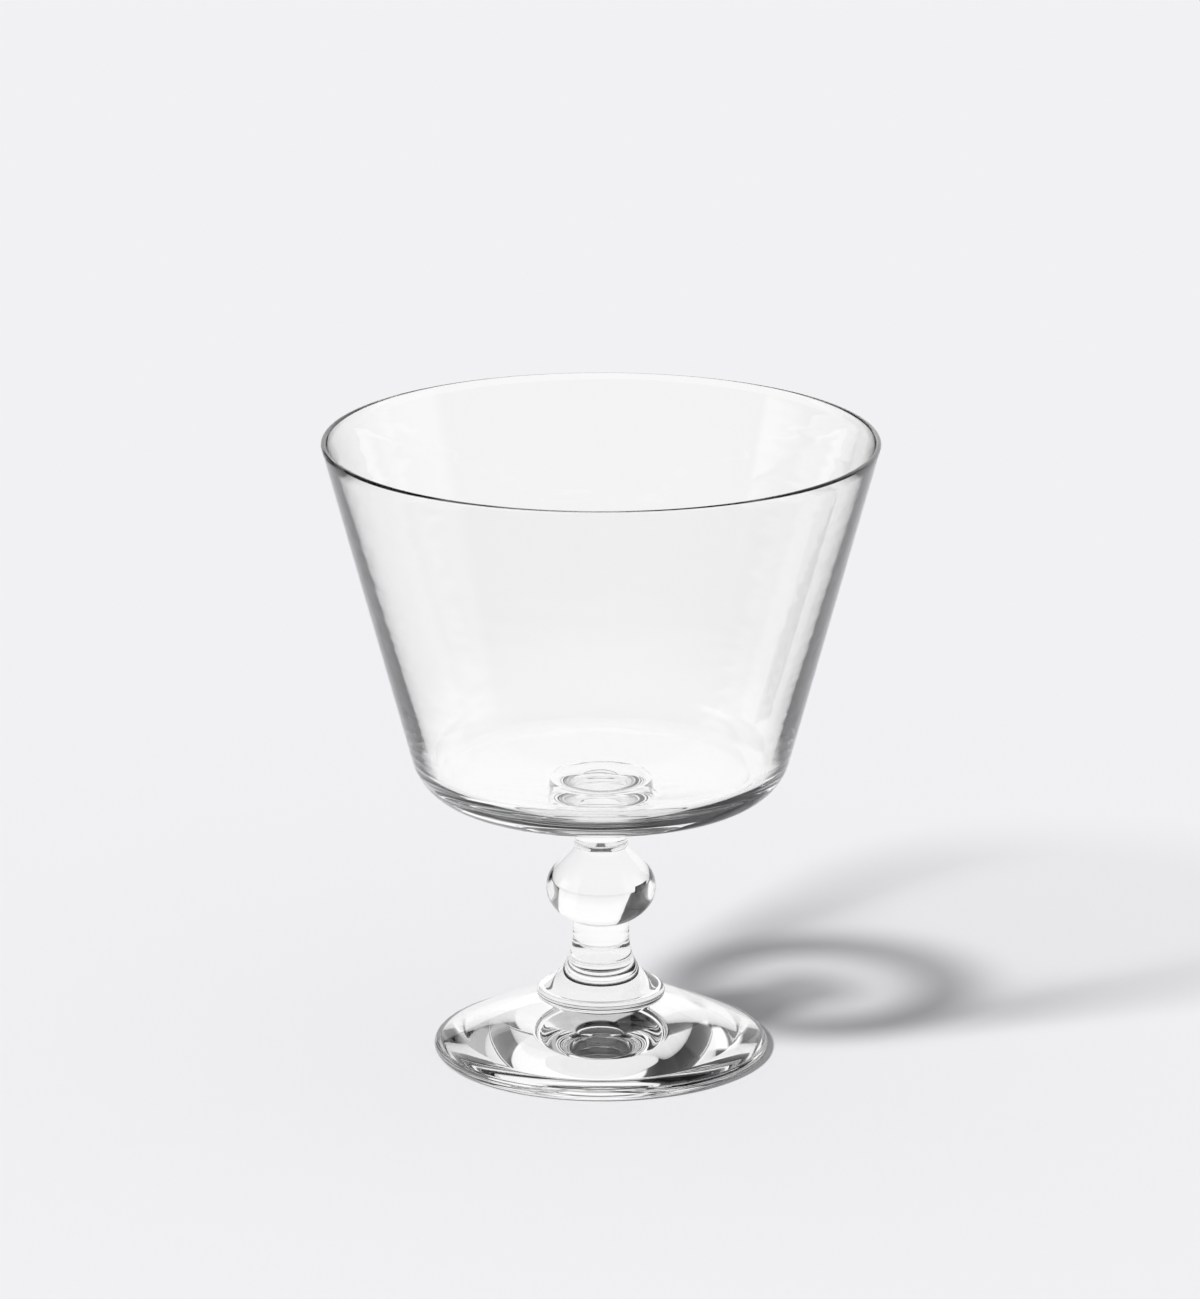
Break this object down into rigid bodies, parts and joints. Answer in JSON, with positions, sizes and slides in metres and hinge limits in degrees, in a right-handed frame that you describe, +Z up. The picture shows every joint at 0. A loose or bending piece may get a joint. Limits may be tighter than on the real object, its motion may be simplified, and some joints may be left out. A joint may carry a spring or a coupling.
{
  "type": "dessert coupe",
  "caption": "Footed clear glass dessert coupe: flared straight-sided bowl with a heavy base, short neck, ball knop, flared stem with a rounded lip and a low domed round foot, hollow underneath.",
  "frame": {"origin": "centre of the resting plane under the foot", "axes": "+Z up along the axis of revolution, from the foot to the rim; X and Y are equivalent"},
  "size_m": [0.11, 0.11, 0.1259],
  "materials": {
    "clear_glass": "fire-polished clear soda-lime glass"
  },
  "bodies": {
    "root": {"bowl": "clear_glass", "neck": "clear_glass", "ball_knop": "clear_glass", "stem_flare": "clear_glass", "foot": "clear_glass"}
  },
  "joints": []
}
